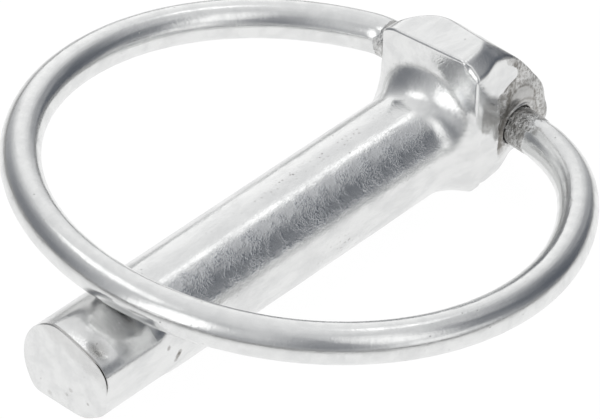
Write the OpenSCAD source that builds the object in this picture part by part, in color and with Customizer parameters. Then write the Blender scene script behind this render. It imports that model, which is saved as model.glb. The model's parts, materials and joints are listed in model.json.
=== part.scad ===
// Lynch pin: a forged steel pin with a sprung wire ring that snaps shut across its shank.
// The shank lies along +X, from the head to the tip. The origin is on its axis, where its straight part starts.
// +Z is the side on which the ring lies when it is shut. All sizes are in millimetres.

/* [Shank] */
// Diameter of the round shank
shank_d = 10; // [8:0.1:14]
// Length from the shoulder under the head to the tip
shank_l = 46.3; // [36:0.1:80]
// Width of the broken edge round the tip
tip_edge = 0.25; // [0.1:0.05:1]

/* [Pressed end] */
// Length of the end that is pressed flat for the ring, measured from the tip
press_l = 9; // [7:0.1:14]
// Height of the upper seat above the shank's axis
seat_up = 4.7; // [4:0.05:5]
// Depth of the lower seat below the shank's axis
seat_down = 4; // [3.6:0.05:5]
// How far the pressed metal has spread beyond the round shank, inside the clearance of the hole it passes
press_spread = 0.25; // [0.1:0.05:0.5]
// Width left by the dies, as a share of the shank's diameter
press_width = 1.01; // [0.96:0.01:1.04]

/* [Head] */
// Width of the head across its two side faces
head_w = 11.8; // [11:0.1:16]
// Height of the top face above the shank's axis
head_up = 9.9; // [8:0.1:13]
// Depth of the flat under the head below the shank's axis
head_down = 5.4; // [5.2:0.1:7.5]
// Length of the top face, back from the shoulder
head_top_l = 3.6; // [2.5:0.1:5]
// Radius of the round back of the head, from the top face down to the eye
head_back_r = 22; // [15:0.5:40]
// Length of the underside, back from the shoulder
head_belly_l = 4.4; // [3:0.1:5]
// Slope of the top face from side to side, in degrees
head_top_lean = 6.5; // [0:0.5:10]
// Angle by which each side face leans in towards the back, in degrees
side_taper = 3; // [0:0.5:6]
// Depth of the cut along the right edge of the top face
corner_right_cut = 1.2; // [0.5:0.05:2]
// Depth of the cut along the left edge of the top face
corner_left_cut = 0.85; // [0.5:0.05:2]
// Radius of the round underside of the head
head_belly_r = 6.7; // [6.5:0.1:9]
// Radius of the fillet between the shoulder and the shank
neck_r = 3.4; // [1:0.1:3.8]

/* [Cross hole] */
// Diameter of the cross hole that the ring turns in
hole_d = 4.1; // [4:0.05:5]
// Distance of the hole behind the shoulder
hole_back = 6.4; // [6:0.1:9]
// Height of the hole above the shank's axis
hole_up = 0.5; // [0:0.1:2]
// Angle by which the hole is off square, which twists the ring and springs it shut, in degrees
hole_skew = 3.4; // [0:0.1:5]
// Thickness of metal round the hole, at the back of the head
eye_wall = 1.9; // [1.4:0.1:3]
// Radius about the hole within which the upper right corner keeps its metal
ear_r = 9.2; // [7:0.1:9.5]

/* [Ring] */
// Diameter of the ring's wire
wire_d = 3.75; // [3:0.05:3.9]
// Diameter of the wire's two ends, dressed to turn in the cross hole
end_d = 3.65; // [3:0.05:3.8]
// Distance from the middle of the wire, where it crosses the shank, to the tip
ring_to_tip = 6; // [4.5:0.1:8]
// How far the hole's line lies inside the full circle of the ring
ring_set_in = 2.95; // [2:0.05:4]
// Radius of the bend into the hole on the left
bend_left_r = 5; // [4:0.5:10]
// Radius of the bend into the hole on the right
bend_right_r = 14; // [10:0.5:18]
// Distance of each end of the wire from the middle of the pin
wire_end_y = 2.2; // [1:0.1:3.5]
// Gap between the shut ring and its seat
ring_gap = 0.1; // [0.05:0.05:0.3]

/* [Hidden] */
$fn = 96;
steel = "#c9ccd0";
big = 100;
bend_thins = 0.03;
shank_r = shank_d / 2;
wire_r = wire_d / 2;
hole_r = hole_d / 2;
eye_r = hole_r + eye_wall;
side_y = head_w / 2;

// The ring is laid out in its own plane: its hinge line is the local Y axis and it reaches out along local X.
ring_run = (shank_l - ring_to_tip + hole_back) / cos(hole_skew);
ring_rise = seat_up + wire_r + ring_gap - hole_up;
ring_reach = sqrt(pow(ring_run, 2) + pow(ring_rise, 2));
ring_tilt = asin(ring_rise / ring_reach);
ring_r = (ring_reach + ring_set_in) / 2;
ring_centre = ring_r - ring_set_in;

// ---- the pin ----

// A slab that keeps everything whose distance from the X axis, at this angle from +Z towards +Y, is under d.
module below_plane(angle, d) {
    rotate([-angle, 0, 0])
        translate([-big / 2, -big / 2, d - big])
            cube([big, big, big]);
}

// A slab that keeps everything under d along the direction at this angle from +X towards +Y, raised by lift.
module below_slope(angle, lift, d) {
    rotate([0, -lift, angle])
        translate([d - big, -big / 2, -big / 2])
            cube([big, big, big]);
}

// A round bar along X from x0 to x1, with a broken edge of this size at x1.
module bar(x0, x1, r, edge = 0) {
    translate([x0, 0, 0])
        rotate([0, 90, 0]) {
            cylinder(h = x1 - x0 - edge, r = r);
            if (edge > 0)
                translate([0, 0, x1 - x0 - edge])
                    cylinder(h = edge, r1 = r, r2 = r - edge);
        }
}

// The last stretch of the shank, pressed between dies: wider at its corners and flat where the ring seats.
module pressed_end() {
    wide = shank_r * press_width;
    intersection() {
        bar(shank_l - press_l, shank_l, shank_r + press_spread, tip_edge);
        below_plane(0, seat_up);
        below_plane(12, seat_up - 0.01 * shank_d);
        below_plane(24, seat_up);
        below_plane(180, seat_down);
        below_plane(144, seat_down + 0.04 * shank_d);
        below_plane(95, wide);
        below_plane(-90, wide);
        below_plane(-66, shank_r);
        below_plane(-36, shank_r - 0.03 * shank_d);
    }
}

// The flare from the shank up to the shoulder: a quarter-round fillet turned about the shank's axis.
module neck() {
    top_r = shank_r + neck_r;
    rotate([0, 90, 0])
        rotate_extrude()
            difference() {
                square([top_r, neck_r]);
                translate([top_r, neck_r])
                    circle(r = neck_r);
            }
}

// The head seen from its side: a tall block at the shoulder whose round back runs down into a round eye.
module side_outline() {
    eye = [-hole_back, hole_up];
    // The arc of the back starts at the top face and touches the eye from outside: its middle lies head_back_r
    // from the first and head_back_r - eye_r from the middle of the second.
    up = [hole_back - head_top_l, head_up - hole_up];
    span = norm(up);
    along = (pow(head_back_r - eye_r, 2) - pow(head_back_r, 2) + span * span) / (2 * span);
    beside = sqrt(pow(head_back_r - eye_r, 2) - along * along);
    middle = eye + along * up / span + beside * [up[1], -up[0]] / span;
    outwards = (eye - middle) / norm(eye - middle);
    rise = head_up + side_y * tan(head_top_lean);
    translate(eye)
        circle(r = eye_r);
    intersection() {
        translate(middle)
            circle(r = head_back_r);
        polygon([
            [0, -head_down],
            [0, rise],
            [-head_back_r, rise],
            eye + head_back_r * outwards,
            eye,
            [-hole_back, hole_up - eye_r * 0.9],
            [-head_belly_l, -head_down]
        ]);
    }
}

// The head seen from above: its sides lean in from the shoulder to the back, where they end in round corners.
module plan_outline() {
    back = hole_back + eye_r;
    round_r = side_y * 0.2;
    round_x = round_r - back;
    round_y = side_y + round_x * tan(side_taper) - round_r / cos(side_taper);
    end_x = round_x - round_r * sin(side_taper);
    end_y = round_y + round_r * cos(side_taper);
    polygon([[0, -side_y], [0, side_y], [end_x, end_y], [end_x, -end_y]]);
    translate([-back, -round_y])
        square([back, 2 * round_y]);
    for (side = [-1, 1])
        translate([round_x, side * round_y])
            circle(r = round_r);
}

// Distance from the axis of a plane at this angle that cuts this deep into the edge between a side and the top.
function corner_distance(angle, y, top_d, cut) =
    let (z = (top_d + y * sin(head_top_lean)) / cos(head_top_lean))
    y * sin(angle) + z * cos(angle) - cut;

// Everything that lies inside the head's outline seen along the shank, from x0 to x1.
module end_outline(x0, x1) {
    top_d = head_up * cos(head_top_lean);
    corner_right = 33;
    corner_left = -42;
    intersection() {
        union() {
            bar(x0, x1, head_belly_r);
            translate([x0, -side_y, 0])
                cube([x1 - x0, head_w, big / 2]);
        }
        below_plane(90, side_y);
        below_plane(-90, side_y);
        below_plane(-head_top_lean, top_d);
        below_plane(corner_right, corner_distance(corner_right, side_y, top_d, corner_right_cut));
        below_plane(corner_left, corner_distance(corner_left, -side_y, top_d, corner_left_cut));
        below_plane(180, head_down);
        below_plane(157, head_belly_r * 0.88);
        below_plane(-157, head_belly_r * 0.88);
    }
}

// The head: where its outlines from the side, from above and along the shank cross.
module head_block() {
    intersection() {
        translate([0, side_y, 0])
            rotate([90, 0, 0])
                linear_extrude(height = head_w)
                    side_outline();
        translate([0, 0, -big / 2])
            linear_extrude(height = big)
                plan_outline();
        end_outline(-hole_back - eye_r, 0);
        // The upper back corners are cut away on both sides, and the right one keeps its metal near the eye.
        below_slope(-126, 25, (head_up + side_y) * 0.53);
        union() {
            below_slope(128, 55, (head_up + side_y) * 0.706);
            translate([-hole_back, 0, hole_up])
                rotate([90, 0, 0])
                    cylinder(h = head_w, r = ear_r, center = true);
        }
        // Behind the underside the eye's lower corners are cut away.
        union() {
            translate([-head_belly_l, -big / 2, -big / 2])
                cube([big, big, big]);
            intersection() {
                below_plane(128, head_belly_r * 0.85);
                below_plane(-128, head_belly_r * 0.85);
            }
        }
    }
}

// What follows is placed on the hole: local Z runs along the hole, from left to right.
module on_hole() {
    translate([-hole_back, 0, hole_up])
        rotate([0, 0, -hole_skew])
            rotate([-90, 0, 0])
                children();
}

// The pin and the ring are laid out from the shoulder, then moved so that the origin is where the neck ends.
module from_shoulder() {
    translate([-neck_r, 0, 0])
        children();
}

module pin() {
    color(steel)
        from_shoulder() difference() {
            union() {
                bar(-1, shank_l - press_l, shank_r);
                pressed_end();
                intersection() {
                    neck();
                    end_outline(0, neck_r);
                }
                head_block();
            }
            on_hole()
                translate([0, 0, -big / 2])
                    cylinder(h = big, r = hole_r);
        }
}

// ---- the ring ----

// Where a bend of this radius leaves the hole's line, and the angle at which it leaves the circle.
function bend_foot(bend_r) = sqrt(pow(ring_r - bend_r, 2) - pow(ring_centre - bend_r, 2));
function bend_start(bend_r) = 180 - atan2(bend_foot(bend_r), ring_centre - bend_r);

// An arc of wire in the XY plane about the origin, from angle a0 to a1.
module wire_arc(r, a0, a1, thickness) {
    rotate([0, 0, a0])
        rotate_extrude(angle = a1 - a0)
            translate([r, 0])
                circle(d = thickness);
}

// One end of the ring, on the +Y side: the bend off the circle, drawn a hair thinner, and the dressed end.
// Each starts a little way inside the stretch before it.
module ring_end(bend_r) {
    foot = bend_foot(bend_r);
    lap = 0.2;
    translate([bend_r, foot, 0])
        wire_arc(bend_r, bend_start(bend_r) - lap / bend_r * 180 / PI, 180, wire_d - bend_thins);
    translate([0, wire_end_y, 0])
        rotate([-90, 0, 0])
            cylinder(h = foot + lap - wire_end_y, d = end_d);
}

module ring() {
    color(steel)
        from_shoulder() translate([-hole_back, 0, hole_up])
            rotate([0, 0, -hole_skew])
                rotate([0, -ring_tilt, 0]) {
                    translate([ring_centre, 0, 0])
                        wire_arc(ring_r, -bend_start(bend_left_r), bend_start(bend_right_r), wire_d);
                    ring_end(bend_right_r);
                    mirror([0, 1, 0])
                        ring_end(bend_left_r);
                }
}

pin();
ring();
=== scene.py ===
# %% [markdown]
# # A lynch pin
# A lynch pin is two pieces of steel: a forged pin with a block head, and a ring of spring wire whose two
# ends turn in a cross hole through the head. The CAD model fixes every size and the hinge. This notebook
# dresses it: each piece gets its true surface, with the soft edges and marks of forging and pressing, and a
# zinc-plated finish.

# %% Load the frame
import json
import math

import bpy
import numpy as np
from mathutils import Matrix, Vector


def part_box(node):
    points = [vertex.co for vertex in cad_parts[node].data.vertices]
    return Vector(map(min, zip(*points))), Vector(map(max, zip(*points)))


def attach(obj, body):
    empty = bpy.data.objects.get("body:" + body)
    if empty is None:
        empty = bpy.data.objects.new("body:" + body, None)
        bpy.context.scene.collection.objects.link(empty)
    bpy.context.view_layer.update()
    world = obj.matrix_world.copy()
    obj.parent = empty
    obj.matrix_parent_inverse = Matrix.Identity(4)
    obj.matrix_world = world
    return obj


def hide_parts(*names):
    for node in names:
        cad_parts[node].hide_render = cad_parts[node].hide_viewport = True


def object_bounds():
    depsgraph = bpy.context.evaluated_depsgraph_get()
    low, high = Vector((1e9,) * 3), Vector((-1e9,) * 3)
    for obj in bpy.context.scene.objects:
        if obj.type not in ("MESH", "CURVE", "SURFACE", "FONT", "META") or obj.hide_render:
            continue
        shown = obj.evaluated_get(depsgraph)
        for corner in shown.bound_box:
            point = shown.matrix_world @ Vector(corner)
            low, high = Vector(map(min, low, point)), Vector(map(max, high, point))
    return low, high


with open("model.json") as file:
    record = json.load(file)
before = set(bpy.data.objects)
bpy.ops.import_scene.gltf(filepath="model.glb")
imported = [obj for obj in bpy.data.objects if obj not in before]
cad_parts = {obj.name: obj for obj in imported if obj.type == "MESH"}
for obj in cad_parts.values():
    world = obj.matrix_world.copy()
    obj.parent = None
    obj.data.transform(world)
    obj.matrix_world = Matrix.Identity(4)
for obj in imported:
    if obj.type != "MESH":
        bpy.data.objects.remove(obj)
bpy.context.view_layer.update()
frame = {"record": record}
record = frame["record"]
MM = 0.001

# %% [markdown]
# ## Sizes
# Everything below is laid out in millimetres from the shoulder, the face of the head that the shank grows
# from. The CAD model's origin is a little further along the shank, where the fillet ends, so one length
# joins the two. The tip and the line where the pressing starts are distances along the shank. The hole's
# place is in the head, behind the shoulder, and its line is turned a little, which is what springs the
# ring.

# %% Sizes
FILLET_R = 3.4
SHANK_R = 5.0
TIP_X = 46.3
PRESS_X = 37.3
HOLE_X, HOLE_Z, HOLE_R, HOLE_SKEW = -6.4, 0.5, 1.98, math.radians(3.4)
WIRE_R, WIRE_END_R = 1.875, 1.9

pin_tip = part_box("pin")[1][0] / MM
print("CAD tip at", round(pin_tip + FILLET_R, 2), "mm from the shoulder")

# %% [markdown]
# ## The forged pin as one formula
# A forging has no sharp seams: its block, eye, fillet and shank flow into each other. A way to say this
# exactly is a distance formula: for any point it gives a number that is negative inside the metal and
# positive outside. Flat faces are simple terms. A soft maximum of two terms cuts one shape by another with
# a rounded edge, and a soft minimum melts two shapes together. The mesh is then found by walking outwards
# from the middle until the number reaches zero.

# %% Helpers for the formula
def soft_max(a, b, k):
    """The larger of two distances, with their meeting edge rounded over about k millimetres."""
    h = np.maximum(k - np.abs(a - b), 0) / k
    return np.maximum(a, b) + h * h * k * 0.25


def soft_min(a, b, k):
    """The smaller of two distances, with their meeting corner filled over about k millimetres."""
    return -soft_max(-a, -b, k)


def ramp(x, low, high):
    """0 below low, 1 above high, and a smooth rise between."""
    t = np.clip((x - low) / (high - low), 0, 1)
    return t * t * (3 - 2 * t)


def across(y, z, angle, d):
    """Distance past a flat face that runs along the pin; angle is from the top towards +Y, in degrees."""
    a = math.radians(angle)
    return y * math.sin(a) + z * math.cos(a) - d


def plane(x, y, z, normal, d):
    """Distance past a flat face that looks along the normal and lies d from the middle of the shoulder."""
    n = np.array(normal) / np.linalg.norm(normal)
    return x * n[0] + y * n[1] + z * n[2] - d


def round_face(u, v, centre_u, centre_v, radius):
    """Distance past a round face about a centre, seen in two of the three directions."""
    return np.hypot(u - centre_u, v - centre_v) - radius


print("an edge rounded over 1 mm is shaved by", soft_max(0.0, 0.0, 1.0), "mm where its faces would meet")

# %% [markdown]
# ## The outline of the head, seen along the shank
# The upper half is a block: two side faces that lean in towards the back, a top face that slopes a little
# to one side, and cut corners beside it. The lower half is round with a flat underside. The edges are crisp
# at the top, where the dies met the metal last, and soft below. Round each end of the cross hole the side
# face is a shallow dish, and the drill has left a thin burr at the hole's edge.

# %% Outline of the head
# A flat along the pin is an angle from the top and a distance; any other is a direction and a distance.
SIDE_Y, SIDE_LEAN, SIDE_RETURN = 5.85, 0.33, 0.25
HOLLOW_ABOVE, HOLLOW_RATE = 3, 0.013
DISH_DEPTH, DISH_R, DISH_RIM = 0.16, 2.7, 3.7
BURR_HEIGHT, BURR_R, BURR_WIDTH = 0.13, 2.2, 0.13
TOP, LEFT_CORNER, BELLY_CORNER = (-6.5, 9.81), (-42, 10.25), (165, 5.27)
RIGHT_CORNER, RIGHT_CORNER_BOW = ((0, 0.56, 0.83), 10.82), 0.03
UNDERSIDE = 5.25
SOFT_EDGE, CRISP_EDGE = 0.4, 0.3


def hole_radius(x, y, z):
    """Distance from the line through the cross hole."""
    along = (x - HOLE_X) * math.cos(HOLE_SKEW) - y * math.sin(HOLE_SKEW)
    return np.hypot(along, z - HOLE_Z)


def side_hollow(x, y, z):
    """How far the side face lies inside the shoulder's width."""
    r = hole_radius(x, y, z)
    lean = SIDE_LEAN * ramp(-x, 0.3, 4.2) - SIDE_RETURN * ramp(-x, 8.0, 10.0)
    lean = lean + HOLLOW_RATE * ramp(-x, 1.0, 4.2) * np.maximum(z - HOLLOW_ABOVE, 0) ** 2
    dish = DISH_DEPTH * (1 - ramp(r, DISH_R, DISH_RIM))
    burr = BURR_HEIGHT * np.exp(-(((r - BURR_R) / BURR_WIDTH) ** 2))
    return lean + dish - burr


def head_outline(x, y, z):
    """Distance past the outline, and how crisp its edges are at this height."""
    crisp = ramp(z, 0.5, 4.0)
    sides = np.abs(y) - SIDE_Y + side_hollow(x, y, z)
    right_corner = plane(x, y, z, *RIGHT_CORNER) + RIGHT_CORNER_BOW * x**2
    d = soft_max(across(y, z, *TOP), across(y, z, *LEFT_CORNER), 0.5)
    d = soft_max(d, sides, SOFT_EDGE * (1 - crisp) + CRISP_EDGE * crisp)
    d = soft_max(d, right_corner, 0.3)
    d = soft_max(d, across(np.abs(y), z, *BELLY_CORNER), 0.6)
    return soft_max(d, -z - UNDERSIDE, 0.8), crisp


print("the head is", 2 * SIDE_Y, "mm wide at the shoulder")

# %% [markdown]
# ## The head
# Seen from its side, the head is a tall block at the shoulder, with a round back that runs down to a round
# eye about the cross hole. The block's underside ends in a heel. Its left back corner is cut away by one
# flat. On the right the cut stops at the thick metal about the eye, an ear that stands proud of it. The
# corner between the shoulder, the top and the right side has been worn to a small facet. Each flat is given
# as the direction it looks in and its distance, and each form is shaved by the next with its own softness.

# %% The head
BACK_X, BACK_Z, BACK_R = 10.13, -7.11, 22.2
EYE_R, EYE_BELLY = 3.95, (128, 5.86)
EAR_TOP, EAR_FRONT = 9.85, 4.4
BLOCK_BELOW = ((-0.449, 0, -0.893), 2.43)
HEEL_BACK, HEEL_TOP, HEEL_SLOPE = 5.0, 1.0, ((-0.7615, 0, -0.648), 6.85)
LEFT_CUT, RIGHT_CUT = ((-0.533, -0.733, 0.423), 8.71), ((-0.35, 0.45, 0.82), 11.155)
WORN_CORNER, WORN_FADE = ((0.75, 0.33, 0.57), 7.30), 0.38


def head_block(x, y, z, outline):
    """The block with its round back, its heel and its cut corners."""
    upper = soft_max(round_face(x, z, BACK_X, BACK_Z, BACK_R), plane(x, y, z, *BLOCK_BELOW), 1.7)
    heel = soft_max(-x - HEEL_BACK, plane(x, y, z, *HEEL_SLOPE), 0.6)
    block = soft_min(upper, soft_max(heel, z - HEEL_TOP, 0.3), 0.8)
    block = soft_max(block, plane(x, y, z, *LEFT_CUT), 1.2)
    ear = np.maximum(x + EAR_FRONT, z - EAR_TOP)
    block = soft_max(block, soft_min(plane(x, y, z, *RIGHT_CUT), ear, 0.5), 0.25)
    edge = 1.55 - 1.1 * ramp(z, 2.5, 6.0) - 0.27 * ramp(z, 6.0, 8.5)
    return soft_max(block, outline, edge)


def head(x, y, z):
    outline, crisp = head_outline(x, y, z)
    eye = soft_max(round_face(x, z, HOLE_X, HOLE_Z, EYE_R), outline, 0.4 + 1.3 * ramp(z, -0.6, 2.5))
    eye = soft_max(eye, across(np.abs(y), z, *EYE_BELLY), 0.9)
    d = soft_min(head_block(x, y, z, outline), eye, 1.3)
    worn = plane(x, y, z, *WORN_CORNER) + WORN_FADE * ramp(y, 3.9, 4.6)
    return soft_max(soft_max(d, worn, 0.12), x, 2.2 * (1 - crisp) + 0.28 * crisp)


print("the back of the head lies", round(BACK_R - BACK_X, 2), "mm or less behind the shoulder")

# %% [markdown]
# ## The fillet
# The shank doesn't meet the head at a sharp corner, where it would crack. It flares up to the shoulder in a
# quarter circle and stays inside the head's outline.

# %% The fillet
FILLET_SLOPE, OVERLAP = 0.62, 1.0


def fillet(x, y, z):
    t = np.clip(x, 0, FILLET_R)
    flare = SHANK_R + FILLET_R - np.sqrt(np.maximum(FILLET_R**2 - (FILLET_R - t) ** 2, 0))
    d = (np.hypot(y, z) - flare) * FILLET_SLOPE
    outline, _ = head_outline(x, y, z)
    d = soft_max(d, outline, 0.9)
    return np.maximum(d, np.maximum(x - FILLET_R, -x - OVERLAP))


print("the fillet is", 2 * (SHANK_R + FILLET_R), "mm across at the shoulder")

# %% [markdown]
# ## The shank and its pressed end
# The last 9 mm of the shank have been pressed between dies. The seat above is a shallow curve, the metal
# has spread to a sharp corner at its right, and the side and the belly are flat. The belly's flat leans a
# little and is held level where the ring passes under it. The press has left a few dents near the tip.

# %% The shank
SPREAD, SEAT = (0.33, -0.52, 5.5), (-4.46, -17.61, 22.71)
RIGHT_FLAT, LOW_CORNER, BELLY_FLAT = (95, 5.02), (143.4, 4.5), (177.4, 4.04)
BELLY_REACH, TIP_REACH = 3.96, 0.4
PRESS_START, PRESS_END = PRESS_X - 0.6, PRESS_X + 2.6
DENTS = [
    ((44.9, 3.0, 4.0), (0.6, 0.9, 1.2), 0.24),
    ((44.2, 0.8, 4.4), (0.8, 1.0, 1.2), -0.10),
    ((42.3, 1.5, 4.2), (1.5, 2.6, 1.5), 0.10),
]


def dent(x, y, z, spot, size, depth):
    """A soft hollow pressed into the surface about a spot; a negative depth gives a bump."""
    r2 = sum(((p - q) / s) ** 2 for p, q, s in zip((x, y, z), spot, size))
    return depth * np.exp(-r2)


def pressed_end(x, y, z):
    """The outline that the dies have left: a seat above, and flats at the right and below."""
    d = soft_max(round_face(y, z, *SPREAD), round_face(y, z, *SEAT), 0.35)
    for flat, softness in ((RIGHT_FLAT, 0.5), (LOW_CORNER, 0.8), (BELLY_FLAT, 0.6)):
        d = soft_max(d, across(y, z, *flat), softness)
    return soft_max(d, -z - BELLY_REACH - TIP_REACH * ramp(x, 43.8, 45.4), 0.3)


def shank(x, y, z):
    pressed = ramp(x, PRESS_START, PRESS_END)
    d = (np.hypot(y, z) - SHANK_R) * (1 - pressed) + pressed_end(x, y, z) * pressed
    for spot, size, depth in DENTS:
        d = d + dent(x, y, z, spot, size, depth)
    return np.maximum(soft_max(d, x - TIP_X, 0.16), -x - OVERLAP)

# %% The whole pin
def pin_form(p):
    x, y, z = p[..., 0], p[..., 1], p[..., 2]
    return np.minimum(soft_min(head(x, y, z), fillet(x, y, z), 0.12), shank(x, y, z))


print("inside the shank:", pin_form(np.array([[20.0, 0, 0]])), "outside:", pin_form(np.array([[20.0, 6, 0]])))

# %% [markdown]
# ## Walking out to the surface
# Each point of the mesh is found on a ray. The rays of one row start from one place on the axis and fan out
# round it. Along the shank they stand square to it. At the tip, at the shoulder and at the back of the head
# they lean, so that the rows also cover the faces that look along the shank. More rays are spent where the
# form is busy, and few rows on the straight shank, which is a plain cylinder.

# %% Walk out to the surface
def walk(origin, direction, form, steps=70, caution=0.9, longest=2.0):
    """Follows each ray outwards until the form's distance is zero."""
    direction = direction / np.linalg.norm(direction, axis=-1, keepdims=True)
    t = np.zeros(direction.shape[:-1])
    for _ in range(steps):
        t += np.clip(-form(origin + direction * t[..., None]) * caution, -longest / 4, longest)
    return origin + direction * t[..., None]


def spread(edges, counts):
    """Values that run through the edges, with a chosen number of steps in each stretch."""
    parts = [np.linspace(a, b, n, endpoint=False) for a, b, n in zip(edges[:-1], edges[1:], counts)]
    return np.concatenate(parts + [[edges[-1]]])

# %% The directions of one row's rays
TURNS = [-180, -140, -120, -45, -26, 22.8, 31.7, 60, 66, 140, 180]
RAYS = [26, 20, 62, 26, 84, 18, 50, 14, 76, 28]
turn = np.radians(spread(TURNS, RAYS)[:-1])
radial = np.stack([0 * turn, np.sin(turn), np.cos(turn)], -1)
print(len(turn), "rays in each row")

# %% Rows of rays, square or leaning
X_AXIS = np.array([1.0, 0, 0])


def row_square(x):
    """Rays square to the axis at x."""
    return np.broadcast_to([x, 0, 0], radial.shape), radial


def row_towards(x, reach_x, reach_r):
    """Rays from x on the axis that pass through a point at reach_x and a distance reach_r out."""
    reach_r = np.broadcast_to(reach_r, turn.shape)[:, None]
    return np.broadcast_to([x, 0, 0], radial.shape), X_AXIS * (reach_x - x) + radial * reach_r


def outline_at(x):
    """How far out the pin's surface lies in each direction at x."""
    o, d = row_square(x)
    return np.linalg.norm((walk(o, d, pin_form) - o)[:, 1:], axis=-1)


tip_edge = outline_at(TIP_X - 0.2)
shoulder_edge = outline_at(-0.2)
neck_edge = np.minimum(SHANK_R + FILLET_R, shoulder_edge * 0.97)
tip_reach = [round(float(r), 2) for r in (tip_edge.min(), tip_edge.max())]
print("the tip's edge lies between", tip_reach, "mm from the axis")

# %% Rows at the tip and along the shank
TIP_FAN_X, TIP_FRONT_X, TIP_SIDE_X = TIP_X - 6, TIP_X - 0.08, TIP_X - 0.4
EDGE_STEPS, SEAT_STEPS, PRESS_STEPS, SHANK_STEPS = 5, 44, 16, 16
rows = []
for share in np.concatenate([np.linspace(0.08, 0.9, 9), np.linspace(0.93, 1.0, 8)]):
    rows.append(row_towards(TIP_FAN_X, TIP_X, tip_edge * share))
for x in spread([TIP_FRONT_X, TIP_SIDE_X, PRESS_END, PRESS_START], [EDGE_STEPS, SEAT_STEPS, PRESS_STEPS]):
    rows.append(row_square(x))
for x in spread([PRESS_START - 0.3, FILLET_R], [SHANK_STEPS])[:-1]:
    rows.append(row_square(x))
print(len(rows), "rows as far as the fillet")

# %% Rows round the fillet, over the shoulder and along the head
SHOULDER_FAN_X, HEAD_FRONT_X, HEAD_BACK_X = -2.5, -0.12, -5.0
FILLET_STEPS, HEAD_STEPS = 30, 28
for t in np.linspace(0, 1, FILLET_STEPS):
    a = math.radians(90 * t)
    flare = SHANK_R + FILLET_R - FILLET_R * math.cos(a)
    start_x = FILLET_R + (SHOULDER_FAN_X - FILLET_R) * t
    rows.append(row_towards(start_x, FILLET_R * (1 - math.sin(a)), np.minimum(flare, neck_edge)))
for share in np.concatenate([np.linspace(0.06, 0.9, 16), np.linspace(0.93, 1.0, 8)]):
    rows.append(row_towards(SHOULDER_FAN_X, 0.0, neck_edge + (shoulder_edge - neck_edge) * share))
for x in spread([HEAD_FRONT_X, -0.6, HEAD_BACK_X], [EDGE_STEPS, HEAD_STEPS]):
    rows.append(row_square(x))
print(len(rows), "rows so far")

# %% [markdown]
# The back of the head is covered by one fan of rays about a point inside it.

# %% The fan at the back of the head
FAN, FAN_STEPS = np.array([HEAD_BACK_X, 0, 0.0]), 62
for a in np.radians(np.linspace(1.2, 88.6, FAN_STEPS)):
    rows.append((np.broadcast_to(FAN, radial.shape), -X_AXIS * math.sin(a) + radial * math.cos(a)))
skin = walk(np.array([o for o, d in rows]), np.array([d for o, d in rows]), pin_form)
tip_pole = walk(np.array([[TIP_FAN_X, 0, 0]]), X_AXIS[None], pin_form)
back_pole = walk(FAN[None], -X_AXIS[None], pin_form)
print(skin.shape, "largest distance left", float(np.abs(pin_form(skin)).max()))

# %% [markdown]
# ## From rays to a mesh
# Neighbouring points make four-sided faces, row by row, and the first and the last row are closed by a fan
# of triangles about a pole. The points move from the shoulder to the CAD model's origin here, once and for
# all.

# %% Turn the rows into one closed mesh
def closed_skin(skin, first_pole, last_pole):
    """All points, and the faces between neighbouring points, wound so that they look outwards."""
    n_rows, n_cols = skin.shape[:2]
    points = np.concatenate([skin.reshape(-1, 3), first_pole, last_pole])
    index = np.arange(n_rows * n_cols).reshape(n_rows, n_cols)
    beside = np.roll(index, -1, axis=1)
    quads = np.stack([index[:-1], beside[:-1], beside[1:], index[1:]], -1).reshape(-1, 4)
    first, last = n_rows * n_cols, n_rows * n_cols + 1
    fans = [(first, int(b), int(a)) for a, b in zip(index[0], beside[0])]
    fans += [(last, int(a), int(b)) for a, b in zip(index[-1], beside[-1])]
    return points, [tuple(q) for q in quads.tolist()] + fans


def make_object(name, points, faces):
    """A mesh object from points in millimetres."""
    mesh = bpy.data.meshes.new(name)
    mesh.from_pydata((np.asarray(points) * MM).tolist(), [], faces)
    mesh.update()
    obj = bpy.data.objects.new(name, mesh)
    bpy.context.scene.collection.objects.link(obj)
    return obj


points, faces = closed_skin(skin, tip_pole, back_pole)
forged_pin = make_object("forged_pin", points - [FILLET_R, 0, 0], faces)
print(len(forged_pin.data.vertices), "points,", len(forged_pin.data.polygons), "faces")

# %% [markdown]
# ## Drilling the cross hole
# The hole goes right through, so it can't be part of a skin found from inside. A drill does it: a cylinder
# on the hinge line of the CAD model, taken away by a Boolean modifier that is then applied.

# %% The drill
def cylinder_between(name, a, b, radius, sides=128):
    """A closed cylinder from a to b."""
    a, b = Vector(a), Vector(b)
    turn_to = (b - a).to_track_quat("Z", "Y").to_matrix()
    angles = np.linspace(0, 2 * math.pi, sides, endpoint=False)
    ring = [turn_to @ Vector((radius * math.cos(t), radius * math.sin(t), 0)) for t in angles]
    faces = [(i, (i + 1) % sides, sides + (i + 1) % sides, sides + i) for i in range(sides)]
    faces += [tuple(range(sides))[::-1], tuple(range(sides, 2 * sides))]
    return make_object(name, [tuple(end + r) for end in (a, b) for r in ring], faces)


DRILL_REACH = 12
hinge = record["behaviour"]["joints"][0]
hinge_at = Vector(hinge["pos_m"]) / MM
hinge_dir = Vector(hinge["axis"]).normalized()
drill_ends = [hinge_at - hinge_dir * DRILL_REACH, hinge_at + hinge_dir * DRILL_REACH]
drill = cylinder_between("drill", *drill_ends, HOLE_R)
print("the drill is", 2 * HOLE_R, "mm thick")

# %% Drill the cross hole
SHARP_ANGLE = math.radians(38)


def keep_result(obj, modifier):
    """Bakes what a modifier makes into a plain mesh, and takes the modifier off again."""
    graph = bpy.context.evaluated_depsgraph_get()
    result = bpy.data.meshes.new_from_object(obj.evaluated_get(graph))
    obj.modifiers.remove(modifier)
    old, obj.data = obj.data, result
    bpy.data.meshes.remove(old)
    result.name = obj.name


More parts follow.
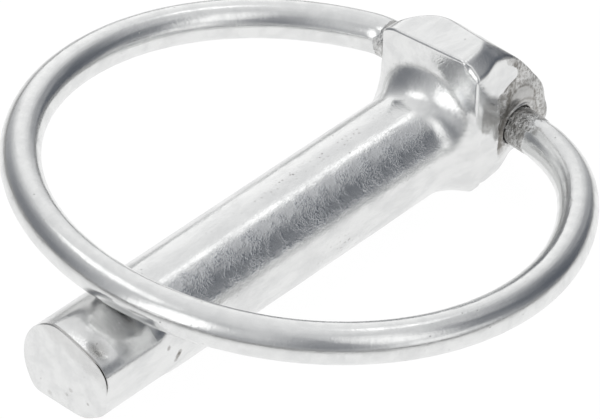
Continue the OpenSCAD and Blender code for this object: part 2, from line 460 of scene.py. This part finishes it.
bore = forged_pin.modifiers.new("bore", "BOOLEAN")
bore.object, bore.operation, bore.solver = drill, "DIFFERENCE", "EXACT"
keep_result(forged_pin, bore)
bpy.data.objects.remove(drill)
forged_pin.data.shade_smooth()
forged_pin.data.set_sharp_from_angle(angle=SHARP_ANGLE)
print(len(forged_pin.data.polygons), "faces after drilling")

# %% [markdown]
# ## The path of the ring's wire
# The ring is a true circle with two bends that lead it into the cross hole. The bends have different radii,
# because one end of the wire is bent over after it has gone through the hole. The path lies in one plane,
# and the tilt of that plane lets the far side of the ring lie on the pressed seat. The path is worked out
# from five lengths, so it always meets the circle without a kink.

# %% One end of the wire
RING_R, RING_CENTRE = 25.07, 22.12
RING_TILT = math.radians(7.52)
BEND_LEFT, BEND_RIGHT, WIRE_END = 5.0, 14.0, 2.25
PATH_STEP, END_POINTS = 0.25, 24


def bend_foot(bend):
    """How far out along the hole's line a bend has to start, to lead into the circle."""
    return math.sqrt((RING_R - bend) ** 2 - (RING_CENTRE - bend) ** 2)


def arc(centre, radius, start, end, step=PATH_STEP):
    """Points along an arc, a step apart."""
    n = max(3, int(abs(end - start) * radius / step))
    t = np.linspace(start, end, n)
    return np.stack([centre[0] + radius * np.cos(t), centre[1] + radius * np.sin(t)], -1)


def end_bend(bend):
    """Points from inside the hole to the circle, towards +Y, and the angle where the circle takes over."""
    foot = bend_foot(bend)
    leave = math.pi - math.atan2(foot, RING_CENTRE - bend)
    straight = np.stack([np.zeros(END_POINTS), np.linspace(WIRE_END, foot, END_POINTS)], -1)
    return np.concatenate([straight, arc((bend, foot), bend, math.pi, leave)[1:]]), leave


right_end, right_angle = end_bend(BEND_RIGHT)
left_end, left_angle = end_bend(BEND_LEFT)
feet = [round(bend_foot(bend), 2) for bend in (BEND_LEFT, BEND_RIGHT)]
print("the bends start", feet, "mm from the hole's middle")

# %% Path of the whole wire
left_end = left_end * [1, -1]
round_part = arc((RING_CENTRE, 0), RING_R, -left_angle, right_angle)[1:-1]
path = np.concatenate([left_end, round_part, right_end[::-1]])
turned = Matrix.Rotation(-HOLE_SKEW, 4, "Z") @ Matrix.Rotation(-RING_TILT, 4, "Y")
ring_frame = Matrix.Translation(hinge_at) @ turned
path = [tuple(ring_frame @ Vector((x, y, 0))) for x, y in path]
wire_path = make_object("sprung_ring", path, [])
wire_path.data.edges.add(len(path) - 1)
wire_path.data.edges.foreach_set("vertices", [v for i in range(len(path) - 1) for v in (i, i + 1)])
wire_length = sum((Vector(a) - Vector(b)).length for a, b in zip(path, path[1:]))
print("the wire is", round(wire_length, 1), "mm long")

# %% [markdown]
# ## Node trees in a few words
# A few helpers keep the node trees short. One places any node and fills or links its inputs, and another
# does so for vectors. A small class wraps a socket, so that it can be added, multiplied and raised to a
# power like a number. A sum on paper then reads as a sum here.

# %% Placing a node
def place(tree, kind, inputs=None, **settings):
    """Adds a node; inputs maps a socket's name or number to a value, a socket or a wrapped value."""
    node = tree.nodes.new(kind)
    for key, value in settings.items():
        setattr(node, key, value)
    for key, value in (inputs or {}).items():
        socket = node.inputs[key]
        value = getattr(value, "socket", value)
        if isinstance(value, bpy.types.NodeSocket):
            tree.links.new(value, socket)
        else:
            socket.default_value = value
    return node


def vector_math(tree, operation, *inputs):
    """The outputs of a Vector Math node: its Vector, and its Value where the operation gives a number."""
    return place(tree, "ShaderNodeVectorMath", dict(enumerate(inputs)), operation=operation).outputs

# %% Sums with sockets
class Term:
    """A value in a node tree that takes part in sums."""

    def __init__(self, tree, socket):
        self.tree, self.socket = tree, socket

    def do(self, operation, *others):
        node = place(self.tree, "ShaderNodeMath", dict(enumerate((self, *others))), operation=operation)
        return Term(self.tree, node.outputs[0])

    def __add__(self, other):
        return self.do("ADD", other)

    def __sub__(self, other):
        return self.do("SUBTRACT", other)

    def __rsub__(self, other):
        return (self * -1.0) + other

    def __mul__(self, other):
        return self.do("MULTIPLY", other)

    def __truediv__(self, other):
        return self.do("DIVIDE", other)

    def __pow__(self, other):
        return self.do("POWER", other)

    __radd__ = __add__
    __rmul__ = __mul__

    def rise(self, low, high, to_low=0.0, to_high=1.0):
        """A smooth change from to_low to to_high as this value goes from low to high."""
        inputs = {"Value": self, 1: low, 2: high, 3: to_low, 4: to_high}
        node = place(self.tree, "ShaderNodeMapRange", inputs, interpolation_type="SMOOTHSTEP")
        return Term(self.tree, node.outputs[0])

    def fall(self, low, high, left=0.0):
        """1 below low, what is left above high, and a smooth change between."""
        return self.rise(low, high, 1.0, left)


def length_of(a, b):
    """The length of a step of a one way and b square to it."""
    return (a ** 2.0 + b ** 2.0).do("SQRT")


def mark(value, middle, width):
    """A soft line where the value passes the middle."""
    return (((value - middle) / width) ** 2.0 * -1.0).do("EXPONENT")


print("a Term knows", [name for name in vars(Term) if not name.startswith("_")])

# %% [markdown]
# ## The ring by Geometry Nodes
# A wire is a circle carried along a path, and that rule is what Geometry Nodes do best. The tree resamples
# the path, sweeps a circle along it and closes the ends. The wire is a trace thicker at its ends, where the
# plating has run into the hole, and a shallow groove at a named distance from each end shows where the
# thick part stops.

# %% Ring tree
GROOVE_WIDTH, END_EDGE = 0.5 * MM, 0.35 * MM
LENGTHS = ("Wire Radius", "End Radius", "Left End", "Right End", "Step", "Groove")


def wire_radius(tree, given):
    """The wire's radius along its path: a thick end, a shallow groove, and then the plain wire."""
    along = Term(tree, place(tree, "GeometryNodeSplineParameter").outputs["Length"])
    total = Term(tree, place(tree, "GeometryNodeSplineLength").outputs["Length"])
    ends = [(along, given["Left End"]), (total - along, given["Right End"])]
    plain, groove = 1.0, 0.0
    for way_in, end in ends:
        plain = (way_in - end).rise(-END_EDGE, END_EDGE) * plain
        groove = mark(way_in, end, GROOVE_WIDTH) + groove
    thinner = Term(tree, given["Wire Radius"]) - given["End Radius"]
    return plain * thinner + given["End Radius"] - groove * given["Groove"]


def ring_tree():
    tree = bpy.data.node_groups.new("sprung_ring", "GeometryNodeTree")
    face = tree.interface
    face.new_socket("Geometry", in_out="OUTPUT", socket_type="NodeSocketGeometry")
    face.new_socket("Path", in_out="INPUT", socket_type="NodeSocketGeometry")
    for name in LENGTHS:
        face.new_socket(name, in_out="INPUT", socket_type="NodeSocketFloat")
    face.new_socket("Sides", in_out="INPUT", socket_type="NodeSocketInt")
    face.new_socket("Finish", in_out="INPUT", socket_type="NodeSocketMaterial")
    given = place(tree, "NodeGroupInput").outputs
    curve = place(tree, "GeometryNodeMeshToCurve", {"Mesh": given["Path"]}).outputs["Curve"]
    resample = {"Curve": curve, "Length": given["Step"]}
    curve = place(tree, "GeometryNodeResampleCurve", resample, mode="LENGTH").outputs[0]
    circle = {"Resolution": given["Sides"], "Radius": 1.0}
    circle = place(tree, "GeometryNodeCurvePrimitiveCircle", circle, mode="RADIUS").outputs[0]
    sweep = {"Curve": curve, "Profile Curve": circle, "Scale": wire_radius(tree, given), "Fill Caps": True}
    mesh = place(tree, "GeometryNodeCurveToMesh", sweep).outputs[0]
    mesh = place(tree, "GeometryNodeSetShadeSmooth", {"Geometry": mesh}).outputs[0]
    mesh = place(tree, "GeometryNodeRealizeInstances", {"Geometry": mesh}).outputs[0]
    mesh = place(tree, "GeometryNodeSetMaterial", {"Geometry": mesh, "Material": given["Finish"]}).outputs[0]
    place(tree, "NodeGroupOutput", {"Geometry": mesh})
    return tree


def dressed_by_nodes(obj, tree, values):
    """Runs a Geometry Nodes tree on an object and keeps its result as a plain mesh."""
    modifier = obj.modifiers.new(tree.name, "NODES")
    modifier.node_group = tree
    sockets = {s.name: s.identifier for s in tree.interface.items_tree if s.in_out == "INPUT"}
    for name, value in values.items():
        modifier[sockets[name]] = value
    keep_result(obj, modifier)
    return obj


sweep_tree = ring_tree()
print("the ring's tree has", len(sweep_tree.nodes), "nodes")

# %% [markdown]
# ## Patterns on the metal
# All patterns live in Object coordinates, so they stay on the metal when a piece moves. A few helpers give
# them in millimetres: noise of a given fineness, a soft spot about a place, and a mix of two colours.

# %% Helpers for patterns
def position(tree, about=(0, 0, 0)):
    """Object coordinates in millimetres, about a place."""
    coords = place(tree, "ShaderNodeTexCoord").outputs["Object"]
    inputs = {0: coords, "Scale": 1 / MM}
    scaled = place(tree, "ShaderNodeVectorMath", inputs, operation="SCALE").outputs["Vector"]
    return vector_math(tree, "SUBTRACT", scaled, about)["Vector"]


def noise(tree, where, scale, detail=3.0, rough=0.55, stretch=(1, 1, 1)):
    """Cloudy noise between 0 and 1, with about scale blots to the millimetre."""
    where = vector_math(tree, "MULTIPLY", where, stretch)["Vector"]
    inputs = {"Vector": where, "Scale": scale, "Detail": detail, "Roughness": rough}
    node = place(tree, "ShaderNodeTexNoise", inputs)
    return Term(tree, node.outputs["Fac"])


def cells(tree, where, scale):
    """Distance to the nearest of many scattered points."""
    node = place(tree, "ShaderNodeTexVoronoi", {"Vector": where, "Scale": scale, "Randomness": 1.0})
    return Term(tree, node.outputs["Distance"])


def near(tree, where, spot, inner, outer):
    """1 within inner millimetres of a spot, 0 beyond outer."""
    return Term(tree, vector_math(tree, "DISTANCE", where, spot)["Value"]).fall(inner, outer)


def along_axis(tree, where, axis):
    """How far a place lies in an axis's direction."""
    return Term(tree, vector_math(tree, "DOT_PRODUCT", where, tuple(axis))["Value"])


def mixed(tree, factor, a, b):
    """A colour that goes from a to b as the factor goes from 0 to 1."""
    return place(tree, "ShaderNodeMix", {0: factor, 6: a, 7: b}, data_type="RGBA").outputs[2]

# %% [markdown]
# ## Zinc plating
# Both pieces are bright zinc on steel. The metal mirrors the room softly, and it is never even: the plating
# is cloudy, the forged surface under it has a fine grain, and handling leaves pits. One function makes the
# finish from a few amounts, so that the drawn wire can be smoother than the forged pin. Two metals are
# mixed, a bright one and a little satin one, because thin milky patches scatter the light widely while the
# zinc between them still mirrors. What belongs to one piece alone, its grime (on the pin with some painted
# shade), its frosted band with a painted dark reflection, or its drawing marks, comes in as a function.

# %% Zinc finish
BRIGHT, CLOUD = (0.822, 0.826, 0.822, 1), (0.745, 0.75, 0.75, 1)
# The frost colour is a painted dark reflection on the shank's band, and the grime colour also lays painted
# shade.
FROST_AND_DARK_REFLECTION, GRIME_AND_SHADE = (0.42, 0.44, 0.47, 1), (0.20, 0.185, 0.165, 1)
SATIN_ROUGHNESS, GRIME_ROUGHNESS = 0.6, 0.25
PIT_DEPTH, SOFT_DEPTH, FINE_DEPTH, WORM_DEPTH = 0.03, 0.016, 0.030, 0.014


def metal(tree, colour, rough_map, height, milky):
    """Bright metal with a share of satin metal, both over the same bumps."""
    bump = place(tree, "ShaderNodeBump", {"Strength": 1.0, "Distance": MM, "Height": height}).outputs[0]
    shared = {"Base Color": colour, "Metallic": 1.0, "Normal": bump}
    bright = place(tree, "ShaderNodeBsdfPrincipled", {**shared, "Roughness": rough_map}).outputs[0]
    satin = place(tree, "ShaderNodeBsdfPrincipled", {**shared, "Roughness": SATIN_ROUGHNESS}).outputs[0]
    both = place(tree, "ShaderNodeMixShader", {0: milky, 1: bright, 2: satin}).outputs[0]
    place(tree, "ShaderNodeOutputMaterial", {"Surface": both})

# %% One function for both finishes
def zinc(name, grain, cloud, rough, grime_and_shade, crust, stretch=(1, 1, 1), frost_and_dark_reflection=None, drawn=None):
    """A finish: how grainy, cloudy and rough it is, its grime and any painted shade and how thick that lies,
    and its own marks, with any painted dark reflection.
    """
    material = bpy.data.materials.new(name)
    material.use_nodes = True
    tree = material.node_tree
    tree.nodes.clear()
    where = position(tree)
    # Milky clouds, the finest grain, lumps of dried grime, and winding lines where a noise passes its middle.
    clouds = noise(tree, where, 0.55, detail=4.0, rough=0.6, stretch=stretch).rise(0.35, 0.68)
    fine = noise(tree, where, 4.2, detail=3.0, rough=0.7)
    coarse = noise(tree, where, 1.3, detail=2.0, rough=0.5)
    worms = (noise(tree, where, 3.0, detail=2.0, rough=0.6) - 0.5).do("ABSOLUTE").rise(0.0, 0.16)
    # Where the grain is strong, slow waves or the marks of drawing, and a few pits in patches.
    frost = noise(tree, where, 0.7, detail=3.0, rough=0.6).rise(0.38, 0.62)
    soft = noise(tree, where, 1.3, detail=2.0, rough=0.5, stretch=stretch)
    if drawn:
        soft = noise(tree, drawn(tree, where), 2.4, detail=3.0, rough=0.6)
    pits = cells(tree, where, 1.15).fall(0.03, 0.11) * noise(tree, where, 0.5).rise(0.52, 0.60)
    darkening = grime_and_shade(tree, where)
    colour = mixed(tree, clouds * cloud, BRIGHT, CLOUD)
    colour = mixed(tree, pits * 0.55, colour, GRIME_AND_SHADE)
    if frost_and_dark_reflection:
        band = frost_and_dark_reflection(tree, where)
        frost = frost * (band * 0.85 + 0.15)
        # The band's grain is real bumps; its darker bluish colour is a painted dark reflection.
        colour = mixed(tree, band * (worms * frost * 0.5 + 0.33), colour, FROST_AND_DARK_REFLECTION)
    # Grime, and on the pin also painted shade, laid on in the grime colour.
    colour = mixed(tree, darkening, colour, GRIME_AND_SHADE)
    rough_map = clouds * 0.08 + rough + fine.rise(0.4, 0.7) * 0.05 + darkening * GRIME_ROUGHNESS
    height = (fine * FINE_DEPTH + worms * WORM_DEPTH) * (frost + 0.1) * grain
    height = height + soft * SOFT_DEPTH - pits * PIT_DEPTH + darkening * (fine * 0.25 + coarse * 0.75) * crust
    metal(tree, colour, rough_map, height, milky=clouds * (0.07 * cloud) + 0.02)
    print(name, "has", len(tree.nodes), "nodes")
    return material

# %% [markdown]
# ## Grime, and painted shade at the rim, round the hole
# Oil and dust have dried in tide marks round the right end of the hole, and on the wire where it goes in.
# The marks are laid out in the hinge's own directions: how far in front of the hinge line, how far above
# it, and how far out. The stained zone has a wavy front edge. Inside it the tone changes at a ring mark,
# and dark lines follow the edge and the ring mark, as they do where a drop dries. The dark line at the
# hole's rim is partly grime and partly painted shade of the groove there.

# %% The hinge's own directions
hinge_out = -hinge_dir
hinge_up = Vector((0, 0, 1))
hinge_front = hinge_out.cross(hinge_up)


def from_hinge(tree, where):
    """How far in front of the hinge's middle, above it, and out along its line."""
    about = vector_math(tree, "SUBTRACT", where, tuple(hinge_at))["Vector"]
    return [along_axis(tree, about, axis) for axis in (hinge_front, hinge_up, hinge_out)]


print("the hinge looks out along", [round(c, 3) for c in hinge_out])

# %% Grime and painted rim shade on the head
# The stain's edge, the ring mark, the hole's rim (partly painted groove shade) and a slanting seam: where
# each dark line lies.
MOST_DARKENING = 0.9
STAIN_FRONT, RING_MARK_R, RIM_R = 0.35, 1.85, 2.7
SEAM_SLOPE, SEAM_FRONT = 0.27, 2.35


def head_grime_and_rim_shade(tree, where):
    front, above, out = from_hinge(tree, where)
    wobble = (noise(tree, where, 0.8, detail=4.0, rough=0.6) - 0.5) * 1.6
    specks = noise(tree, where, 2.6, detail=3.0, rough=0.7).rise(0.38, 0.66)
    edge = above.rise(4.4, 5.8, 2.75, 0.15) + (above - 6.2).do("MAXIMUM", 0.0) * 0.75
    inside = edge - front + wobble
    from_rim = length_of(front, above) + wobble * 0.4
    ring_mark = length_of(front + 0.2, above - 2.4) + wobble * 0.25
    zone = inside.rise(-0.12, 0.12) * out.rise(2.6, 4.0) * above.rise(-2.8, -1.0) * above.fall(6.6, 8.2, 0.3)
    tone = specks * ring_mark.rise(1.5, 1.9, 0.08, 0.46) + ring_mark.rise(1.5, 1.9, 0.42, 0.26)
    tone = tone + mark(inside, STAIN_FRONT, 0.3) * 0.14
    tone = tone + mark(ring_mark, RING_MARK_R, 0.14) * above.rise(1.7, 2.2) * 0.3
    # The line at the hole's rim is partly grime and partly painted shade of the groove there.
    tone = tone + mark(from_rim, RIM_R, 0.14) * 0.25
    tone = tone + mark(front + above * SEAM_SLOPE - wobble * 0.5, SEAM_FRONT, 0.35) * 0.34
    return (zone * tone).do("MINIMUM", MOST_DARKENING)

# %% [markdown]
# ## The frosted band on the shank, with a painted dark reflection
# Along its upper right the shank keeps the matt, grainy skin that the forging left, and the zinc over it
# looks frosted. The band's darker, bluish colour is a painted dark reflection of the room. It is a band
# between two angles round the shank. Noise is added to the angle, so its edges are ragged.

# %% Frost and painted dark reflection on the shank
BAND_FROM, BAND_TO, BAND_RAG = 20, 61.5, 12


def from_shoulder(tree, where):
    """How far along the shank from its shoulder, to the right, and up."""
    x, y, z = place(tree, "ShaderNodeSeparateXYZ", {0: where}).outputs
    return Term(tree, x) + FILLET_R, Term(tree, y), Term(tree, z)


# The band's grain is real; its colour is a painted dark reflection of the room.
def shank_frost_and_dark_reflection(tree, where):
    x, y, z = from_shoulder(tree, where)
    angle = y.do("ARCTAN2", z) * (180 / math.pi)
    ragged = angle + (noise(tree, where, 1.6, detail=4.0, rough=0.7) - 0.5) * BAND_RAG
    round_it = ragged.rise(BAND_FROM - 5, BAND_FROM + 5) * ragged.fall(BAND_TO - 2.5, BAND_TO + 2.5)
    return round_it * x.rise(2.4, 4.4) * x.fall(PRESS_X - 2.3, PRESS_X + 0.2)


print("the band is", round(math.radians(BAND_TO - BAND_FROM) * SHANK_R, 1), "mm wide")

# %% [markdown]
# ## Scuffs, knocks and painted shade at the tip
# The pin has been pushed through holes. A line of small dark scuffs runs along the top of the shank, with a
# few on its right flank. They are scattered cells, thinned by noise and kept to soft zones. The knocks at
# the tip are single spots, so they are a short list: where each lies, its inner and outer radius, and how
# dark it is; the first of them is painted shade in a dent. A dark line of painted shade runs round the
# rounded upper edge of the tip, and the pressed seat is made a touch darker than the round shank.

# %% Scuffs along the shank
def shank_scuffs(tree, where):
    x, y, z = from_shoulder(tree, where)
    chips = cells(tree, where, 2.4).fall(0.16, 0.36) * noise(tree, where, 1.6, detail=2.0).rise(0.44, 0.56)
    along_top = mark(y, -0.35, 0.45) * z.rise(2.0, 4.0) * mark(x, 15.0, 9.0)
    flank = mark(z, -0.5, 1.0) * y.rise(3.0, 4.5) * mark(x, 17.0, 4.0) * 0.6
    return chips * (along_top + flank) * 0.7

# %% Knocks, and painted shade in a dent, at the tip
KNOCKS_AND_DENT_SHADE = [
    # This first spot is painted shade in the dent pressed near the tip.
    ((45.2, 3.2, 4.3), 0.3, 1.5, 0.62),
    ((46.0, 5.2, 3.2), 0.1, 0.7, 0.5),
    ((38.6, 5.0, 1.2), 0.12, 0.34, 0.6),
    ((37.4, 5.0, -0.4), 0.16, 0.42, 0.7),
    ((37.2, 5.0, -0.1), 0.14, 0.36, 0.6),
    ((37.6, 5.0, -0.8), 0.12, 0.36, 0.5),
    ((TIP_X, 0.7, -1.5), 0.08, 0.32, 0.3),
    ((TIP_X, 0.2, -2.3), 0.08, 0.28, 0.35),
    ((TIP_X, 2.8, -1.8), 0.06, 0.24, 0.45),
    ((TIP_X, -1.9, -3.4), 0.1, 0.4, 0.25),
]
# How much darker the pressed seat is made, and how dark the painted shade along the tip's upper edge is.
SEAT_DARKENING, TIP_EDGE_SHADE = 0.08, 0.55


def tip_grime_and_shade(tree, where):
    x, y, z = from_shoulder(tree, where)
    wobble = noise(tree, where, 1.8, detail=3.0, rough=0.7) - 0.5
    # The pressed seat is made a touch darker.
    seat = (x + wobble).rise(38.6, 39.6) * (x + wobble * 1.5).fall(45.2, 45.9) * z.rise(3.3, 4.0)
    # Painted shade: a dark line along the rounded upper edge of the tip.
    edge = mark(x, TIP_X - 0.12, 0.10) * (z + y * 0.3 + wobble * 2).rise(2.2, 3.4)
    darkening = seat * SEAT_DARKENING + edge * TIP_EDGE_SHADE
    for spot, inner, outer, dark in KNOCKS_AND_DENT_SHADE:
        centre = (spot[0] - FILLET_R, spot[1], spot[2])
        darkening = darkening + near(tree, where, centre, inner, outer) * (wobble + 0.9) * dark
    return darkening


# The pin's grime, with painted shade at the hole's rim, along the tip's edge and in the dent near the tip.
def pin_grime_and_shade(tree, where):
    darkening = head_grime_and_rim_shade(tree, where) + shank_scuffs(tree, where) + tip_grime_and_shade(tree, where)
    return darkening.do("MINIMUM", MOST_DARKENING)

# %% The finish of the pin
pin_finish = zinc(
    "forged_zinc", grain=1.0, cloud=0.8, rough=0.13, grime_and_shade=pin_grime_and_shade, crust=0.06,
    stretch=(0.5, 1, 1), frost_and_dark_reflection=shank_frost_and_dark_reflection,
)
forged_pin.data.materials.append(pin_finish)

# %% [markdown]
# ## Marks of the wire's own
# The same dried grime sits on the wire where it enters the hole, thick on the right and thin on the left.
# Drawing the wire through its die has left fine lines along it. They need coordinates that follow the ring:
# how far out from its middle, how far off its plane, and the angle round it, which changes slowly, so that
# the noise is drawn out.

# %% Marks on the wire
DRAWN_OUT = 2.0


def wire_grime(tree, where):
    front, _, out = from_hinge(tree, where)
    wobble = (noise(tree, where, 1.1, detail=4.0, rough=0.65) - 0.5) * 2.2
    worn = noise(tree, where, 1.0, detail=4.0, rough=0.65).rise(0.36, 0.62)
    right = (out + wobble).fall(8.0, 8.3) * out.rise(3.0, 4.0)
    left = (out + wobble * 0.5).rise(-11.4, -11.1) * out.fall(-6.0, -5.0)
    darkening = right * (worn * 0.45 + 0.2) + left * (worn * 0.4 + 0.1)
    return (darkening * front.fall(4.0, 6.0)).do("MINIMUM", MOST_DARKENING)


def drawn_wire(tree, where):
    """Coordinates that run round the ring."""
    middle = ring_frame @ Vector((RING_CENTRE, 0, 0))
    about = vector_math(tree, "SUBTRACT", where, tuple(middle))["Vector"]
    a, b, c = [along_axis(tree, about, axis) for axis in ring_frame.to_3x3().col]
    turn_by = b.do("ARCTAN2", a) * DRAWN_OUT
    return place(tree, "ShaderNodeCombineXYZ", {0: length_of(a, b), 1: c, 2: turn_by}).outputs[0]


ring_finish = zinc(
    "wire_zinc", grain=0.15, cloud=0.6, rough=0.12, grime_and_shade=wire_grime, crust=0.5, drawn=drawn_wire,
)

# %% Make the ring
LEFT_END, RIGHT_END, GROOVE_DEPTH = 6.9, 6.2, 0.05
lengths = (WIRE_R, WIRE_END_R, LEFT_END, RIGHT_END, PATH_STEP, GROOVE_DEPTH)
values = {name: length * MM for name, length in zip(LENGTHS, lengths)}
sprung_ring = dressed_by_nodes(wire_path, sweep_tree, {**values, "Sides": 72, "Finish": ring_finish})
print(len(sprung_ring.data.polygons), "faces in the ring")

# %% [markdown]
# ## Handing the pieces to the frame
# Each piece rides on the body that MuJoCo moves, and stands for the CAD node of the same name.

# %% Hand the pieces to the frame
for piece, name in ((forged_pin, "pin"), (sprung_ring, "ring")):
    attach(piece, name)
    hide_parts(name)
    print(piece.name, "rides on", name)

# %% [markdown]
# ## The camera
# A long lens from some way off keeps the wire's two sides nearly the same size. The camera stands above the
# tip, to its right, and is turned by three directions: what is right, up and back in its view.

# %% Camera
CAMERA_AT, LENS_MM, SENSOR_MM = Vector((275.73, 242.54, 304.77)), 314.64, 36
look_right = Vector((-0.6890, 0.7246, 0.0164))
look_up = Vector((-0.4611, -0.4556, 0.7614))
look_back = look_right.cross(look_up).normalized()
look_up = look_back.cross(look_right).normalized()
camera_data = bpy.data.cameras.new("camera")
camera_data.lens, camera_data.sensor_width = LENS_MM, SENSOR_MM
camera_data.clip_start, camera_data.clip_end = 0.01, 20
camera = bpy.data.objects.new("camera", camera_data)
bpy.context.scene.collection.objects.link(camera)
bpy.context.scene.camera = camera
aimed = Matrix((look_right, look_up, look_back)).transposed()
camera.matrix_world = Matrix.Translation(CAMERA_AT * MM) @ aimed.to_4x4()
print("camera looks along", [round(c, 3) for c in -look_back])

# %% [markdown]
# ## The room
# Polished metal is only as good as the room it mirrors. This room is pale all round, with soft grey panels
# that give the metal its dark streaks and a few bright ones for its highlights. Each panel is an ellipse on
# the picture that a mirror ball would show, because that is how its place on the metal is judged. The
# directions are fixed in the room, so nothing depends on the camera, which sees plain white. The darker the
# room, the bluer it is by a trace, as zinc looks.

# %% Panels of the room
# Each panel: its centre and radii in ball radii, its tilt in degrees, its softness and its strength.
ROOM_LIGHT, BLUE_TRACE = 1.10, 0.022
GREY_PANELS = [
    ((-0.74, 0.15), (0.21, 0.61), -20, 0.77, 0.67),
    ((0.68, 0.43), (0.21, 0.42), 48, 0.69, 0.85),
    ((-0.49, -0.23), (0.18, 0.06), -18, 0.20, 0.55),
    ((0.02, -0.26), (0.73, 0.11), 10, 0.80, 0.26),
    ((0.15, -0.02), (0.13, 0.35), -9, 0.66, 0.53),
    ((-0.44, -0.28), (0.82, 1.02), -38, 0.80, 0.45),
    ((0.50, 0.10), (0.31, 0.24), 7, 0.42, 0.70),
    ((-0.51, 0.58), (0.13, 0.29), -47, 0.53, 0.23),
    ((-0.14, 0.16), (0.11, 0.07), 45, 0.60, 0.16),
    ((0.37, -0.07), (0.10, 0.06), 0, 0.60, 0.16),
    ((0.93, 0.05), (0.17, 0.50), 0, 0.60, 0.5),
]
BRIGHT_PANELS = [
    ((-0.35, -0.10), (0.12, 0.32), -30, 0.24, 0.85),
    ((-0.27, 0.45), (0.09, 0.16), 9, 0.16, 0.6),
    ((0.31, 0.09), (0.12, 0.20), 24, 0.70, 0.95),
    ((-0.18, 0.93), (0.30, 0.12), 0, 0.60, 0.16),
    ((-0.54, -0.60), (0.15, 0.26), 0, 0.60, 0.32),
    ((-0.32, 0.90), (0.08, 0.05), 0, 0.60, 0.12),
    ((0.57, 0.58), (0.07, 0.07), 0, 0.60, 0.14),
    ((0.48, -0.12), (0.16, 0.06), 41, 0.79, 0.55),
    ((0.205, 0.62), (0.04, 0.05), 0, 0.50, 0.8),
]
print(len(GREY_PANELS), "grey panels and", len(BRIGHT_PANELS), "bright ones")

# %% The room that the metal mirrors
def room_panel(u, v, centre, radii, tilt, soft):
    """1 inside a soft ellipse of the room as a mirror ball shows it, 0 outside."""
    c, s = math.cos(math.radians(tilt)), math.sin(math.radians(tilt))
    du, dv = u - centre[0], v - centre[1]
    a = (du * c + dv * s) / radii[0]
    b = (dv * c - du * s) / radii[1]
    return length_of(a, b).fall(1 - soft, 1 + soft)


def studio_room():
    world = bpy.data.worlds.new("studio_room")
    bpy.context.scene.world = world
    world.use_nodes = True
    tree = world.node_tree
    tree.nodes.clear()
    ray = place(tree, "ShaderNodeTexCoord").outputs["Generated"]
    right, up, back = [along_axis(tree, ray, axis) for axis in (look_right, look_up, look_back)]
    size = (back * 2.0 + 2.0002).do("SQRT")
    u, v = right / size, up / size
    light = ROOM_LIGHT
    for *panel, dark in GREY_PANELS:
        light = (1 - room_panel(u, v, *panel) * dark) * light
    for *panel, bright in BRIGHT_PANELS:
        light = light + room_panel(u, v, *panel) * bright
    seen = Term(tree, place(tree, "ShaderNodeLightPath").outputs["Is Camera Ray"])
    shown = seen + (1 - seen) * light
    cool = (1 - seen) * (ROOM_LIGHT - light).do("MAXIMUM", 0.0) * BLUE_TRACE
    tinted = {0: shown - cool * 0.5, 1: shown, 2: shown + cool}
    colour = place(tree, "ShaderNodeCombineColor", tinted).outputs[0]
    sky = place(tree, "ShaderNodeBackground", {"Color": colour, "Strength": 1.0}).outputs[0]
    place(tree, "ShaderNodeOutputWorld", {"Surface": sky})
    return len(tree.nodes)


print("the room has", studio_room(), "nodes")

# %% [markdown]
# ## The floor
# The pin lies on a sheet of white paper. The camera has to see it as plain white with a faint shadow, while
# the metal should mirror a painted pool of light on the paper, bright close by and darker further off, which
# draws the lower edges of the wire and the shank. So the paper mixes a diffuse part, which keeps the shadow,
# with a glow that differs by who looks.

# %% Floor
FLOOR_HALF = 1500
PAPER_WHITE, GLOW_SHARE = (0.9, 0.9, 0.9, 1), 0.9
SEEN_GLOW, NEAR_GLOW, FAR_GLOW = 1.06, 1.04, 0.28
POOL_CENTRE, POOL_R, POOL_EDGE = (12, 0, 0), 30.0, 130.0


def white_paper():
    material = bpy.data.materials.new("white_paper")
    material.use_nodes = True
    tree = material.node_tree
    tree.nodes.clear()
    path = place(tree, "ShaderNodeLightPath").outputs
    seen = Term(tree, path["Is Camera Ray"])
    reach = Term(tree, vector_math(tree, "LENGTH", position(tree, POOL_CENTRE))["Value"])
    # Painted pool of light: the glow that the metal mirrors is bright near the pin and dim further off.
    strength = seen * SEEN_GLOW + (1 - seen) * reach.rise(POOL_R, POOL_EDGE, NEAR_GLOW, FAR_GLOW)
    lit = place(tree, "ShaderNodeBsdfDiffuse", {"Color": PAPER_WHITE}).outputs[0]
    glow = place(tree, "ShaderNodeEmission", {"Color": (1, 1, 1, 1), "Strength": strength}).outputs[0]
    straight = seen + path["Is Glossy Ray"] + path["Is Transmission Ray"]
    share = straight.do("MINIMUM", 1.0) * GLOW_SHARE
    blend = place(tree, "ShaderNodeMixShader", {0: share, 1: lit, 2: glow}).outputs[0]
    place(tree, "ShaderNodeOutputMaterial", {"Surface": blend})
    return material


floor_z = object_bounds()[0].z / MM
corners = [(-1, -1), (1, -1), (1, 1), (-1, 1)]
floor = make_object("floor", [(x * FLOOR_HALF, y * FLOOR_HALF, floor_z) for x, y in corners], [(0, 1, 2, 3)])
floor.data.materials.append(white_paper())
print("the floor lies at", round(floor_z, 2), "mm")

# %% [markdown]
# ## View settings
# The Standard view shows colours as they are written. The dressed part has to stay inside the CAD model's
# box.

# %% View settings
bpy.context.scene.view_settings.view_transform = "Standard"
